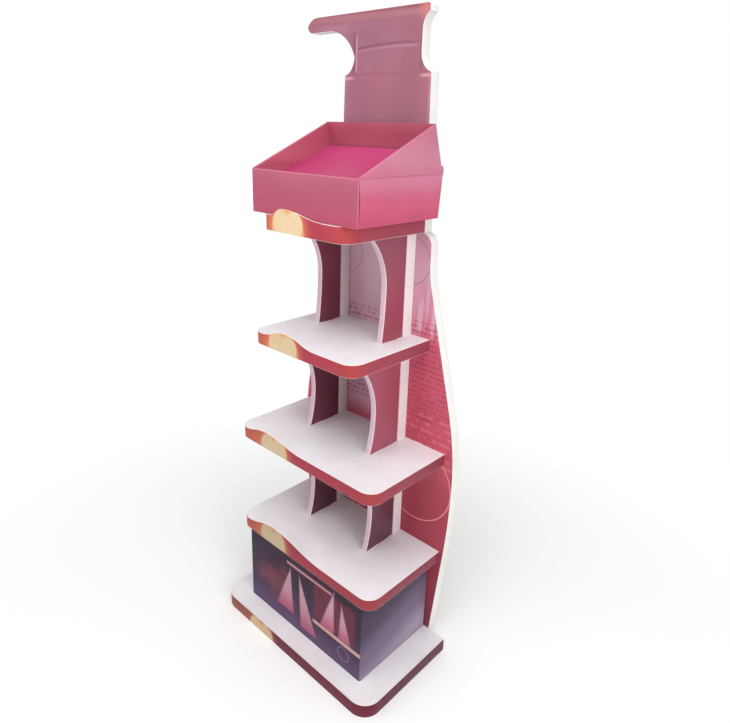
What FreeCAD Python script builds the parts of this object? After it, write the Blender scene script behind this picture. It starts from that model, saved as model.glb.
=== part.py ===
import FreeCAD, Part
import math
import operator
import os
import Sketcher

# Cardboard display stand: a tray-like base, a kick box, three shelves and a top deck with a dump bin,
# all standing in front of one tall silhouette board. Front is -Y, the stand's left is -X, up is +Z.
# Every sketch is drawn from the board's front face, so a sketch's Y is the distance behind that face.

vector = FreeCAD.Vector
doc = FreeCAD.newDocument("display_stand")

# Driving dimensions, in millimetres
DRIVING = [
    ("board_height", 1700, "back board, floor to top"),
    ("board_thick", 28, "back board, honeycomb core between liners"),
    ("board_foot", 243, "back board, half width on the floor"),
    ("board_hip", 270, "back board, half width where its belly starts"),
    ("board_hip_level", 265, "height of that point"),
    ("board_belly", 286, "back board, greatest half width"),
    ("board_belly_level", 530, "height of the greatest width"),
    ("board_flank", 262, "back board, half width where the long taper starts"),
    ("board_flank_level", 730, "height of that point"),
    ("board_chest", 178, "back board, half width where the long taper ends"),
    ("board_chest_level", 1057, "height of that point"),
    ("board_shoulder", 171, "back board, half width at the shoulder"),
    ("shoulder_low", 1115, "height where the shoulder's upright side starts"),
    ("shoulder_high", 1150, "height where the shoulder starts to round in"),
    ("shoulder_round", 35, "radius of the shoulder"),
    ("collar_low", 1187, "height where the collar starts"),
    ("collar_foot", 147, "collar, half width at its foot"),
    ("collar_top", 140, "collar, half width at its top"),
    ("collar_high", 1555, "height of the collar's top"),
    ("neck_half", 108, "neck above the collar, half width"),
    ("neck_low", 1598, "height where the neck's upright side starts"),
    ("neck_high", 1646, "height where the neck's right side ends"),
    ("head_right", 127, "head, from the centre line to its right end"),
    ("head_under", 1682, "height of the head's right lower corner"),
    ("head_round", 6, "radius of the head's right upper corner"),
    ("spout_under", 1662, "height of the spout's underside"),
    ("spout_bend", 200, "from the centre line to where the spout's underside bends down"),
    ("spout_heel", 262, "from the centre line to the spout's lower tip"),
    ("spout_tip", 282, "from the centre line to the spout's tip"),
    ("spout_tip_level", 1681, "height of the spout's tip"),
    ("spout_crown", 245, "from the centre line to where the tip's curve meets the top"),
    ("first_shelf", 285, "floor to the lower edge of the lowest shelf's edging"),
    ("shelf_pitch", 301, "from one shelf to the next"),
    ("deck_thick", 16, "honeycomb board of the shelves and the base"),
    ("corner_round", 38, "radius of the shelves' front corners"),
    ("edging_thick", 3, "printed edging strip"),
    ("lower_width", 524, "lowest shelf, side to side"),
    ("lower_depth", 284, "lowest shelf, front to back"),
    ("lower_edging", 32, "its edging, lower edge to shelf top"),
    ("lower_crest", 110, "its edging, from the centre line to the wave's crest"),
    ("lower_rise", 25, "its edging, rise of the crest above the shelf"),
    ("lower_short", 130, "its edging, length of the wave left of the crest"),
    ("lower_long", 200, "its edging, length of the wave right of the crest"),
    ("middle_width", 510, "middle shelf, as above"),
    ("middle_depth", 284, "middle shelf"),
    ("middle_edging", 32, "middle shelf"),
    ("middle_crest", 135, "middle shelf"),
    ("middle_rise", 17, "middle shelf"),
    ("middle_short", 100, "middle shelf"),
    ("middle_long", 150, "middle shelf"),
    ("upper_width", 366, "upper shelf, as above"),
    ("upper_depth", 284, "upper shelf"),
    ("upper_edging", 32, "upper shelf"),
    ("upper_crest", 50, "upper shelf"),
    ("upper_rise", 20, "upper shelf"),
    ("upper_short", 95, "upper shelf"),
    ("upper_long", 110, "upper shelf"),
    ("top_width", 292, "top deck, as above"),
    ("top_depth", 278, "top deck"),
    ("top_edging", 38, "top deck"),
    ("top_crest", 62, "top deck"),
    ("top_rise", 18, "top deck"),
    ("top_short", 50, "top deck"),
    ("top_long", 150, "top deck"),
    ("fin_face", 122, "from the centre line to a fin's outer face"),
    ("fin_thick", 16, "side fins and posts"),
    ("post_depth", 36, "posts, front to back"),
    ("lower_fin_head", 224, "lower fins, from the back board to their top front corner"),
    ("lower_fin_waist", 129, "lower fins, from the back board to their waist"),
    ("lower_fin_waist_level", 113, "lower fins, height of the waist above the shelf"),
    ("lower_fin_foot", 147, "lower fins, from the back board to their bottom front corner"),
    ("middle_fin_head", 224, "middle fins, as above"),
    ("middle_fin_waist", 129, "middle fins"),
    ("middle_fin_waist_level", 113, "middle fins"),
    ("middle_fin_foot", 147, "middle fins"),
    ("upper_fin_head", 198, "upper fins, as above"),
    ("upper_fin_waist", 107, "upper fins"),
    ("upper_fin_waist_level", 141, "upper fins"),
    ("upper_fin_foot", 117, "upper fins"),
    ("tab_long", 40, "tabs on the fins, front to back"),
    ("tab_tall", 8, "tabs on the fins, height"),
    ("tab_gap", 20, "from the post to the tab"),
    ("base_width", 604, "base, side to side"),
    ("base_depth", 330, "base, front to back"),
    ("base_height", 40, "base, floor to its top"),
    ("base_round", 50, "radius of the base's front corners"),
    ("rib_place", 190, "from the centre line to an outer rib under the base"),
    ("kick_width", 460, "kick box, side to side"),
    ("kick_depth", 276, "kick box, front to back"),
    ("kick_wall", 5, "corrugated board of the kick box and its dividers"),
    ("kick_flap", 40, "kick box, glue flaps turned in at the back"),
    ("fold_round", 6, "outside radius of the kick box's folds"),
    ("kick_cross", 140, "from the back board to the long divider in the kick box"),
    ("bin_width", 354, "dump bin, side to side"),
    ("bin_depth", 274, "dump bin, front to back"),
    ("bin_front", 104, "dump bin, height of its front wall"),
    ("bin_back", 216, "dump bin, height of its back wall"),
    ("bin_lean", 24, "dump bin, how far its back wall leans forward at the top"),
    ("bin_heel", 8, "dump bin, how far its sides' foot reaches past the back board's face"),
    ("bin_ear", 17, "dump bin, how far its sides' ears reach past that face"),
    ("bin_ear_level", 114, "dump bin, height of the ears' lower corner"),
    ("bin_ear_round", 10, "radius of that corner"),
    ("bin_wall", 4, "dump bin, thickness of its board"),
    ("bin_rim", 8, "dump bin, front wall rolled over to two layers"),
    ("bin_proud", 2, "dump bin, how far the wings stand out from the sides below them"),
    ("ramp_thick", 3, "sloping false floor in the bin"),
    ("ramp_low", 64, "false floor, height of its front fold above the bin's underside"),
    ("ramp_high", 156, "false floor, height of its back fold"),
    ("ramp_slack", 1, "false floor, play between the bin's sides"),
    ("ramp_back", 20, "from the back board to the false floor's back leg"),
]

sheet = doc.addObject("Spreadsheet::Sheet", "Sizes")
for row, (alias, number, note) in enumerate(DRIVING, start=1):
    sheet.set(f"A{row}", note)
    sheet.set(f"B{row}", str(number))
    sheet.setAlias(f"B{row}", alias)
doc.recompute()


class Size:
    """A length together with the sheet expression that it is worked out by."""

    def __init__(self, number, text):
        self.number = number
        self.text = text

    def __add__(self, other):
        return joined(self, "+", other)

    def __radd__(self, other):
        return joined(other, "+", self)

    def __sub__(self, other):
        return joined(self, "-", other)

    def __rsub__(self, other):
        return joined(other, "-", self)

    def __mul__(self, other):
        return joined(self, "*", other)

    def __truediv__(self, other):
        return joined(self, "/", other)

    def __neg__(self):
        return joined(0, "-", self)


WORK_OUT = {"+": operator.add, "-": operator.sub, "*": operator.mul, "/": operator.truediv}


def plain(length):
    """The number of a Size, or the number itself."""
    return length.number if isinstance(length, Size) else float(length)


def written(length):
    """The expression of a Size, or the number as text."""
    return length.text if isinstance(length, Size) else str(length)


def joined(first, sign, second):
    """Two lengths put together by a sign, as a number and as an expression."""
    number = WORK_OUT[sign](plain(first), plain(second))
    return Size(number, f"({written(first)} {sign} {written(second)})")


size = {alias: Size(float(sheet.get(alias)), f"Sizes.{alias}") for alias, _, _ in DRIVING}
board_face = (size["base_depth"] - size["board_thick"]) / 2
part_nodes = []


def place(node, x, y, z):
    """Keep a node's position bound to the sheet, with y counted from the board's front face."""
    for axis, length in (("x", x), ("y", board_face + y), ("z", z)):
        node.setExpression(f"Placement.Base.{axis}", written(length))


def new_body(name, x=0, y=0, z=0):
    """A body whose sketches start on the board's front face and the centre line, shifted by x, y, z."""
    body = doc.addObject("PartDesign::Body", name)
    body.Label = name
    place(body, x, y, z)
    part_nodes.append(body)
    return body


def slab(name, corner, extent):
    """A plain board: a box from its low corner."""
    box = doc.addObject("Part::Box", name)
    box.Label = name
    for prop, length in zip(("Length", "Width", "Height"), extent):
        box.setExpression(prop, written(length))
    place(box, *corner)
    part_nodes.append(box)
    return box


def arc_between(start, end, radius, bulge):
    """The short arc from start to end: bulge 1 swells to the left of travel, -1 to the right."""
    chord = end - start
    left = vector(-chord.y, chord.x, 0).normalize()
    reach = math.sqrt(radius ** 2 - chord.Length ** 2 / 4)
    centre = (start + end) / 2 - left * reach * bulge
    first, last = (end, start) if bulge > 0 else (start, end)
    angles = [math.atan2(point.y - centre.y, point.x - centre.x) for point in (first, last)]
    return Part.ArcOfCircle(Part.Circle(centre, vector(0, 0, 1), radius), *angles)


def outline(body, role, name, *loops):
    """A sketch on the body's own plane of that role, made of closed loops. A loop lists corners (x, y),
    or (x, y, radius, bulge) where the edge that arrives there is an arc. Each is dimensioned from zero."""
    sketch = body.newObject("Sketcher::SketchObject", name)
    plane = [feature for feature in body.Origin.OriginFeatures if feature.Role == role][0]
    sketch.AttachmentSupport = [(plane, "")]
    sketch.MapMode = "FlatFace"
    for loop in loops:
        first_edge = sketch.GeometryCount
        ends = []
        for index, corner in enumerate(loop):
            before = loop[index - 1]
            start = vector(plain(before[0]), plain(before[1]), 0)
            end = vector(plain(corner[0]), plain(corner[1]), 0)
            if len(corner) == 2:
                sketch.addGeometry(Part.LineSegment(start, end))
                ends.append((1, 2))
                continue
            radius, bulge = corner[2:]
            edge = sketch.addGeometry(arc_between(start, end, plain(radius), bulge))
            ends.append((2, 1) if bulge > 0 else (1, 2))
            rule = sketch.addConstraint(Sketcher.Constraint("Radius", edge, plain(radius)))
            sketch.setExpression(f"Constraints[{rule}]", written(radius))
        for index, corner in enumerate(loop):
            edge = first_edge + index
            end_point = ends[index][1]
            following = (index + 1) % len(loop)
            sketch.addConstraint(Sketcher.Constraint(
                "Coincident", edge, end_point, first_edge + following, ends[following][0]))
            for kind, length in zip(("DistanceX", "DistanceY"), corner):
                rule = sketch.addConstraint(Sketcher.Constraint(
                    kind, -1, 1, edge, end_point, plain(length)))
                sketch.setExpression(f"Constraints[{rule}]", written(length))
    return sketch


def pad(body, sketch, length, reverse=False, midplane=False):
    """Give a sketch its thickness: along its normal, against it, or half each way."""
    feature = body.newObject("PartDesign::Pad", sketch.Name + "_pad")
    feature.Profile = sketch
    feature.setExpression("Length", written(length))
    feature.Reversed = reverse
    feature.Midplane = midplane
    sketch.Visibility = False


def cut(body, sketch, length=None):
    """Cut a sketch out of the body, both ways: right through, or over a total length."""
    feature = body.newObject("PartDesign::Pocket", sketch.Name + "_cut")
    feature.Profile = sketch
    feature.Midplane = True
    if length is None:
        feature.Type = "ThroughAll"
    else:
        feature.setExpression("Length", written(length))
    sketch.Visibility = False


def rectangle(low_x, low_y, high_x, high_y):
    """A loop of four square corners."""
    return [(low_x, low_y), (high_x, low_y), (high_x, high_y), (low_x, high_y)]


def rounded(corners):
    """A loop through corners (x, y, radius) whose sides run along x or y. A radius of 0 is square."""
    loop = []
    for index, (x, y, radius) in enumerate(corners):
        before = corners[index - 1]
        after = corners[(index + 1) % len(corners)]
        if plain(radius) == 0:
            loop.append((x, y))
            continue
        come = [plain(here) - plain(there) for here, there in zip((x, y), before)]
        leave = [plain(there) - plain(here) for here, there in zip((x, y), after)]
        turn = come[0] * leave[1] - come[1] * leave[0]
        loop.append(tuple(stepped(here, radius, -way) for here, way in zip((x, y), come)))
        end = tuple(stepped(here, radius, way) for here, way in zip((x, y), leave))
        loop.append(end + (radius, -1 if turn > 0 else 1))
    return loop


def stepped(length, step, way):
    """The length moved by a step up or down, or left alone where way is 0."""
    if way == 0:
        return length
    return length + step if way > 0 else length - step


def front_rounded(half, front, radius):
    """A board that is square at the back, y = 0, and rounded at its two front corners."""
    return rounded([(half, 0, 0), (-half, 0, 0), (-half, -front, radius), (half, -front, radius)])


def front_band(half, front, radius, thick):
    """A strip that runs round the two sides and the front of such a board, open at the back."""
    outer = [(-half, 0, 0), (-half, -front, radius), (half, -front, radius), (half, 0, 0)]
    within = half - thick
    inner_radius = radius - thick
    inner = [
        (within, 0, 0),
        (within, thick - front, inner_radius),
        (-within, thick - front, inner_radius),
        (-within, 0, 0),
    ]
    return rounded(outer + inner)


def tangent_radius(along, aside):
    """Radius of the arc that leaves its tangent by aside while it goes along."""
    return (along * along + aside * aside) / (aside * 2)


def swell(start, end, first_bulge):
    """Two equal arcs from one level to another, level at both ends: corners for the middle and the end."""
    along = end[0] - start[0]
    aside = end[1] - start[1] if first_bulge < 0 else start[1] - end[1]
    radius = tangent_radius(along, aside) / 2
    middle = ((start[0] + end[0]) / 2, (start[1] + end[1]) / 2)
    return [middle + (radius, first_bulge), end + (radius, -first_bulge)]


# Back board: one thick honeycomb board cut to the outline of a pump bottle, standing on the floor.
# Its belly swells by arcs between straight flanks, and the spout at the top points left.
side_points = [
    (size["board_foot"], 0),
    (size["board_hip"], size["board_hip_level"]),
    (size["board_belly"], size["board_belly_level"]),
    (size["board_flank"], size["board_flank_level"]),
    (size["board_chest"], size["board_chest_level"]),
    (size["board_shoulder"], size["shoulder_low"]),
    (size["board_shoulder"], size["shoulder_high"]),
    (size["collar_foot"], size["collar_low"]),
    (size["collar_top"], size["collar_high"]),
]


def bend_between(low, high, bulge):
    """The arc between two points of the side, upright at one of them."""
    along = side_points[high][1] - side_points[low][1]
    wide, narrow = sorted((side_points[low][0], side_points[high][0]), key=plain, reverse=True)
    return (tangent_radius(along, wide - narrow), bulge)


# The edge that leaves each point of the side upwards: () is straight
side_edges = [
    (),
    bend_between(1, 2, -1),
    bend_between(2, 3, -1),
    (),
    bend_between(4, 5, 1),
    (),
    (size["shoulder_round"], -1),
    (),
]


def bend_by(along, aside, bulge):
    """The arc of an edge that leaves its tangent by aside while it goes along."""
    return (tangent_radius(along, aside), bulge)


neck_bend = bend_by(size["neck_low"] - size["collar_high"], size["collar_top"] - size["neck_half"], 1)
head_bend = bend_by(size["head_under"] - size["neck_high"], size["head_right"] - size["neck_half"], 1)
spout_bend = bend_by(size["spout_bend"] - size["neck_half"], size["spout_under"] - size["neck_low"], 1)
crown_drop = size["board_height"] - size["spout_tip_level"]
crown_bend = bend_by(size["spout_tip"] - size["spout_crown"], crown_drop, -1)
heel_rise = size["spout_tip_level"] - size["spout_under"]
heel_bend = bend_by(heel_rise, size["spout_tip"] - size["spout_heel"], -1)
right_side = [point + edge for point, edge in zip(side_points, [()] + side_edges)]
left_side = [
    (-half, level) + edge
    for (half, level), edge in zip(side_points[::-1], [neck_bend] + side_edges[::-1])
]
pump_head = [
    (size["neck_half"], size["neck_low"]) + neck_bend,
    (size["neck_half"], size["neck_high"]),
    (size["head_right"], size["head_under"]) + head_bend,
    (size["head_right"], size["board_height"] - size["head_round"]),
    (size["head_right"] - size["head_round"], size["board_height"], size["head_round"], -1),
    (-size["spout_crown"], size["board_height"]),
    (-size["spout_tip"], size["spout_tip_level"]) + crown_bend,
    (-size["spout_heel"], size["spout_under"]) + heel_bend,
    (-size["spout_bend"], size["spout_under"]),
    (-size["neck_half"], size["neck_low"]) + spout_bend,
]
board = new_body("back_board")
board_outline = outline(board, "XZ_Plane", "bottle_outline", right_side + pump_head + left_side)
pad(board, board_outline, size["board_thick"], reverse=True)

# Base: a low tray of honeycomb board on three ribs, with a printed strip bent round its front and sides.
base_inside = size["base_width"] / 2 - size["edging_thick"]
base_front_inside = size["base_depth"] - size["edging_thick"]
rib_height = size["base_height"] - size["deck_thick"]

base_edging = new_body("base_edging")
base_strip = front_band(size["base_width"] / 2, size["base_depth"], size["base_round"], size["edging_thick"])
pad(base_edging, outline(base_edging, "XY_Plane", "base_strip", base_strip), size["base_height"])

base_deck = new_body("base_deck", z=rib_height)
base_board = front_rounded(base_inside, base_front_inside, size["base_round"] - size["edging_thick"])
pad(base_deck, outline(base_deck, "XY_Plane", "base_board", base_board), size["deck_thick"])

for side, middle in (("left", -size["rib_place"]), ("middle", 0), ("right", size["rib_place"])):
    slab(
        f"base_rib_{side}",
        (middle - size["deck_thick"] / 2, -base_front_inside, 0),
        (size["deck_thick"], base_front_inside, rib_height),
    )

# Kick box: a corrugated sleeve folded round four corners, its glue flaps turned in against the back board,
# with two dividers slotted into each other inside it. It carries the lowest shelf.
kick_half = size["kick_width"] / 2
kick_inside = kick_half - size["kick_wall"]
kick_front_inside = size["kick_depth"] - size["kick_wall"]
kick_height = size["first_shelf"] + size["lower_edging"] - size["deck_thick"] - size["base_height"]
flap_end = kick_half - size["kick_flap"]
inner_fold = size["fold_round"] - size["kick_wall"]

kick_box = new_body("kick_box", z=size["base_height"])
kick_sleeve = rounded([
    (-flap_end, 0, 0),
    (-kick_half, 0, size["fold_round"]),
    (-kick_half, -size["kick_depth"], size["fold_round"]),
    (kick_half, -size["kick_depth"], size["fold_round"]),
    (kick_half, 0, size["fold_round"]),
    (flap_end, 0, 0),
    (flap_end, -size["kick_wall"], 0),
    (kick_inside, -size["kick_wall"], inner_fold),
    (kick_inside, -kick_front_inside, inner_fold),
    (-kick_inside, -kick_front_inside, inner_fold),
    (-kick_inside, -size["kick_wall"], inner_fold),
    (-flap_end, -size["kick_wall"], 0),
])
pad(kick_box, outline(kick_box, "XY_Plane", "kick_sleeve", kick_sleeve), kick_height)

slot_half = size["kick_wall"] / 2
slot_level = kick_height / 2
long_divider = new_body("kick_divider_long", y=-size["kick_cross"], z=size["base_height"])
long_outline = outline(long_divider, "XZ_Plane", "long_divider_outline", [
    (-kick_inside, 0),
    (kick_inside, 0),
    (kick_inside, kick_height),
    (slot_half, kick_height),
    (slot_half, slot_level),
    (-slot_half, slot_level),
    (-slot_half, kick_height),
    (-kick_inside, kick_height),
])
pad(long_divider, long_outline, size["kick_wall"], midplane=True)

short_divider = new_body("kick_divider_short", z=size["base_height"])
short_outline = outline(short_divider, "YZ_Plane", "short_divider_outline", [
    (-kick_front_inside, 0),
    (-size["kick_cross"] - slot_half, 0),
    (-size["kick_cross"] - slot_half, slot_level),
    (slot_half - size["kick_cross"], slot_level),
    (slot_half - size["kick_cross"], 0),
    (0, 0),
    (0, kick_height),
    (-kick_front_inside, kick_height),
])
pad(short_divider, short_outline, size["kick_wall"], midplane=True)

# Shelves: four decks, each with a printed strip bent round its front and sides. The strip's upper edge
# rises in one long wave. The decks are notched for the posts and slotted for the fins' tabs.
LEVELS = ("lower", "middle", "upper", "top")
tab_back = size["post_depth"] + size["tab_gap"]
tab_front = tab_back + size["tab_long"]
fin_inner = size["fin_face"] - size["fin_thick"]
shelf_edge = {level: size["first_shelf"] + size["shelf_pitch"] * index for index, level in enumerate(LEVELS)}
deck_top = {level: shelf_edge[level] + size[f"{level}_edging"] for level in LEVELS}


def mirrored_slots(far, near):
    """The same slot on both sides, as wide as a fin is thick, from y = -far to y = -near."""
    return [
        rectangle(-size["fin_face"], -far, -fin_inner, -near),
        rectangle(fin_inner, -far, size["fin_face"], -near),
    ]


for level in LEVELS:
    half = size[f"{level}_width"] / 2
    depth = size[f"{level}_depth"]
    level_line = size[f"{level}_edging"]
    crest_line = level_line + size[f"{level}_rise"]
    crest = -size[f"{level}_crest"]
    wave_left = (crest - size[f"{level}_short"], level_line)
    wave_right = (crest + size[f"{level}_long"], level_line)

    edging = new_body(f"{level}_edging", z=shelf_edge[level])
    strip = front_band(half, depth, size["corner_round"], size["edging_thick"])
    pad(edging, outline(edging, "XY_Plane", f"{level}_strip", strip), crest_line)
    above_wave = [(-half * 2, level_line), wave_left]
    above_wave += swell(wave_left, (crest, crest_line), -1)
    above_wave += swell((crest, crest_line), wave_right, 1)
    above_wave += [(half * 2, level_line), (half * 2, crest_line * 2), (-half * 2, crest_line * 2)]
    cut(edging, outline(edging, "XZ_Plane", f"{level}_wave", above_wave))

    deck = new_body(f"{level}_deck", z=deck_top[level] - size["deck_thick"])
    strip_thick = size["edging_thick"]
    deck_board = front_rounded(half - strip_thick, depth - strip_thick, size["corner_round"] - strip_thick)
    pad(deck, outline(deck, "XY_Plane", f"{level}_board", deck_board), size["deck_thick"])
    cut(deck, outline(deck, "XY_Plane", f"{level}_slots", *mirrored_slots(tab_front, tab_back)))
    if level != "top":
        notches = mirrored_slots(size["post_depth"], -size["post_depth"])
        cut(deck, outline(deck, "XY_Plane", f"{level}_notches", *notches))

# Posts: two white battens glued upright to the back board. They stand on the base, pass through the
# notches in the shelves and end under the top deck, which they carry.
post_height = deck_top["top"] - size["deck_thick"] - size["base_height"]
for side, low_x in (("left", -size["fin_face"]), ("right", fin_inner)):
    slab(
        f"{side}_post",
        (low_x, -size["post_depth"], size["base_height"]),
        (size["fin_thick"], size["post_depth"], post_height),
    )

# Fins: boards that hold each shelf up in front of the posts. Their front edge draws in to a waist and
# then sweeps far out under the next shelf. Tabs at top and bottom sit in slots of the shelves there.
for level, next_level in zip(LEVELS[:3], LEVELS[1:]):
    fin_height = deck_top[next_level] - size["deck_thick"] - deck_top[level]
    waist_level = size[f"{level}_fin_waist_level"]
    foot = size[f"{level}_fin_foot"]
    waist = size[f"{level}_fin_waist"]
    head = size[f"{level}_fin_head"]
    fin_outline = [
        (-size["post_depth"], 0),
        (-tab_back, 0),
        (-tab_back, -size["tab_tall"]),
        (-tab_front, -size["tab_tall"]),
        (-tab_front, 0),
        (-foot, 0),
        (-waist, waist_level, tangent_radius(waist_level, foot - waist), -1),
        (-head, fin_height, tangent_radius(fin_height - waist_level, head - waist), -1),
        (-tab_front, fin_height),
        (-tab_front, fin_height + size["tab_tall"]),
        (-tab_back, fin_height + size["tab_tall"]),
        (-tab_back, fin_height),
        (-size["post_depth"], fin_height),
    ]
    fin_middle = size["fin_face"] - size["fin_thick"] / 2
    for side, middle in (("left", -fin_middle), ("right", fin_middle)):
        fin = new_body(f"{level}_fin_{side}", x=middle, z=deck_top[level])
        fin_sketch = outline(fin, "YZ_Plane", f"{level}_fin_{side}_outline", fin_outline)
        pad(fin, fin_sketch, size["fin_thick"], midplane=True)

# Dump bin: one folded carton on the top deck. Its sides run on upwards as wings that stand a little
# proud, its back wall leans forward above the wings' crease, and its front wall is rolled over double.
bin_half = size["bin_width"] / 2
above_bin = size["bin_back"] * 2
wing_low = [(-size["bin_depth"], size["bin_front"]), (size["bin_ear"], size["bin_front"])]
ear_corner = (size["bin_ear"], size["bin_ear_level"])
wing_top = (-size["bin_lean"], size["bin_back"])

dump_bin = new_body("dump_bin", z=deck_top["top"])
tray_outline = outline(dump_bin, "YZ_Plane", "bin_sides", [
    (-size["bin_depth"], 0),
    (size["bin_heel"], 0),
    wing_low[1],
    wing_low[0],
])
pad(dump_bin, tray_outline, size["bin_width"], midplane=True)
ear_round = size["bin_ear_round"]
wing_outline = outline(dump_bin, "YZ_Plane", "bin_wings", [
    wing_low[0],
    (size["bin_ear"], size["bin_front"]),
    ear_corner,
    (size["bin_ear"] - ear_round, size["bin_ear_level"] + ear_round, ear_round, -1),
    wing_top,
])
pad(dump_bin, wing_outline, size["bin_width"] + size["bin_proud"] * 2, midplane=True)
inside_width = size["bin_width"] - size["bin_wall"] * 2
bin_inside = outline(dump_bin, "YZ_Plane", "bin_inside", [
    (size["bin_rim"] - size["bin_depth"], size["bin_wall"]),
    (-size["bin_wall"], size["bin_wall"]),
    (-size["bin_wall"], size["bin_front"]),
    (-size["bin_lean"] - size["bin_wall"], size["bin_back"]),
    (-size["bin_lean"] - size["bin_wall"], above_bin),
    (-size["bin_depth"] * 2, above_bin),
    (-size["bin_depth"] * 2, size["bin_front"]),
    (size["bin_rim"] - size["bin_depth"], size["bin_front"]),
])
cut(dump_bin, bin_inside, inside_width)
behind_back = outline(dump_bin, "YZ_Plane", "bin_behind", [
    (0, -size["bin_wall"]),
    (size["bin_depth"], -size["bin_wall"]),
    (size["bin_depth"], above_bin),
    (-size["bin_lean"], above_bin),
    wing_top,
    (0, size["bin_front"]),
])
cut(dump_bin, behind_back, inside_width)

# False floor: one sheet folded to a front leg, a slope and a back leg, which lifts what lies in the bin.
ramp = new_body("bin_ramp", z=deck_top["top"] + size["bin_wall"])
leg_front = size["bin_rim"] - size["bin_depth"]
leg_back = -size["ramp_back"]
low_fold = size["ramp_low"] - size["bin_wall"]
high_fold = size["ramp_high"] - size["bin_wall"]
ramp_outline = outline(ramp, "YZ_Plane", "ramp_outline", [
    (leg_front, 0),
    (leg_front + size["ramp_thick"], 0),
    (leg_front + size["ramp_thick"], low_fold - size["ramp_thick"]),
    (leg_back - size["ramp_thick"], high_fold - size["ramp_thick"]),
    (leg_back - size["ramp_thick"], 0),
    (leg_back, 0),
    (leg_back, high_fold),
    (leg_front, low_fold),
])
pad(ramp, ramp_outline, inside_width - size["ramp_slack"], midplane=True)

doc.recompute()

failed = [item.Name for item in doc.Objects if "Invalid" in item.State or "Error" in item.State]
if failed:
    raise RuntimeError(f"these objects failed to compute: {failed}")
for node in part_nodes:
    shape = node.Shape
    if shape.isNull() or not shape.isValid() or len(shape.Solids) != 1:
        raise RuntimeError(f"{node.Label} has no single valid solid")

os.makedirs("parts", exist_ok=True)
for node in part_nodes:
    node.Shape.exportStep(f"parts/{node.Label}.step")
print(f"{len(part_nodes)} parts written")
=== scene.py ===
import math

import bmesh
import bpy
import numpy as np
from mathutils import Matrix, Vector


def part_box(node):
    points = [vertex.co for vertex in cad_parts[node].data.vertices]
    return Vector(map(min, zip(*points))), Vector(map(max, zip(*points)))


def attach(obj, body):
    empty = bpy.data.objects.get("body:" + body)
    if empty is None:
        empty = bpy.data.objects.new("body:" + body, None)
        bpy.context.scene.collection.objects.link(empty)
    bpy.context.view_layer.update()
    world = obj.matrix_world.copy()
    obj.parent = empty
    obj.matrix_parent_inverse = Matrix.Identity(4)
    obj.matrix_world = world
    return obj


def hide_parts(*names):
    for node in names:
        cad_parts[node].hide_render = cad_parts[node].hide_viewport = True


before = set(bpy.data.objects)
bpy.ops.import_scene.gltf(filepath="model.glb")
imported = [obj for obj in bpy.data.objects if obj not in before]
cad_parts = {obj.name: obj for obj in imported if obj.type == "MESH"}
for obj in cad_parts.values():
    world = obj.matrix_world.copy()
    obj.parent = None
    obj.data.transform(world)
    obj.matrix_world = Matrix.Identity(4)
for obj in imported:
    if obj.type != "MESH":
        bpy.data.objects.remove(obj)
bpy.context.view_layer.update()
MM = 0.001


# Back board: one thick honeycomb board sawn to the outline of a pump bottle. A printed sheet is glued to
# its front and a white one to its back, and white tape is folded round the sawn edge.

BOARD_RIM = 1.2 * MM
TAPE_SEAM = 420 * MM
COAT_ROUGHNESS = 0.32
FIBRE_DEPTH = 0.12 * MM
FLAT_TURN = math.radians(0.5)
SOFT_TURN = math.radians(24)
SHARP_TURN = math.radians(50)

BOARD_TONES = (
    # height on the board, and the tone there
    (0.02, (126, 48, 66)), (0.26, (158, 56, 76)), (0.45, (162, 58, 76)), (0.62, (184, 72, 92)),
    (0.90, (198, 84, 108)), (1.01, (206, 138, 158)), (1.08, (206, 156, 176)), (1.19, (200, 146, 168)),
)
PANEL_HALF = 100 * MM
PANEL_TONES = (
    # the same for the panel between the posts
    (0.60, (176, 88, 108)), (0.68, (200, 152, 170)), (0.90, (214, 170, 188)), (1.20, (232, 192, 208)),
)
BOARD_ROWS = (
    # pitch, bar length and seed of rows of bars, their heights, how softly they end, their share and tone
    (14 * MM, 11 * MM, 3.1, 0.690, 0.955, 0.01, 0.5, (150, 50, 78)),
    (21 * MM, 17 * MM, 8.4, 0.57, 0.70, 0.02, 0.3, (228, 132, 152)),
)
BOARD_RINGS = (
    # centre, radius, line width and tone of the drawn rings
    ((0.108, 1.113), 0.062, 0.9 * MM, (140, 84, 104)),
    ((-0.112, 1.100), 0.052, 0.9 * MM, (140, 84, 104)),
    ((0.165, 0.500), 0.118, 2.2 * MM, (224, 140, 128)),
    ((-0.185, 0.470), 0.092, 1.6 * MM, (214, 112, 116)),
)
HEAD_TONES = (
    # place across the collar and head, and the tone there
    (-0.140, (168, 113, 135)), (-0.115, (166, 100, 122)), (-0.02, (162, 98, 116)),
    (0.085, (150, 90, 108)), (0.128, (158, 94, 112)), (0.140, (188, 126, 142)),
)
COLLAR_FOOT = 1192 * MM
COLLAR_TOP = 1555.5 * MM
NECK_HALF = 108 * MM
NECK_TOP = 1650 * MM
GROOVE_LEVEL = 1622 * MM
CROWN_LEVEL = 1681 * MM
NOSE_TIP = -268 * MM


def ink(red, green, blue):
    """A printed colour: screen values from 0 to 255 turned into linear light."""
    screen = np.array([red, green, blue]) / 255
    linear = np.where(screen > 0.04045, ((screen + 0.055) / 1.055) ** 2.4, screen / 12.92)
    return (*map(float, linear), 1.0)


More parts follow.
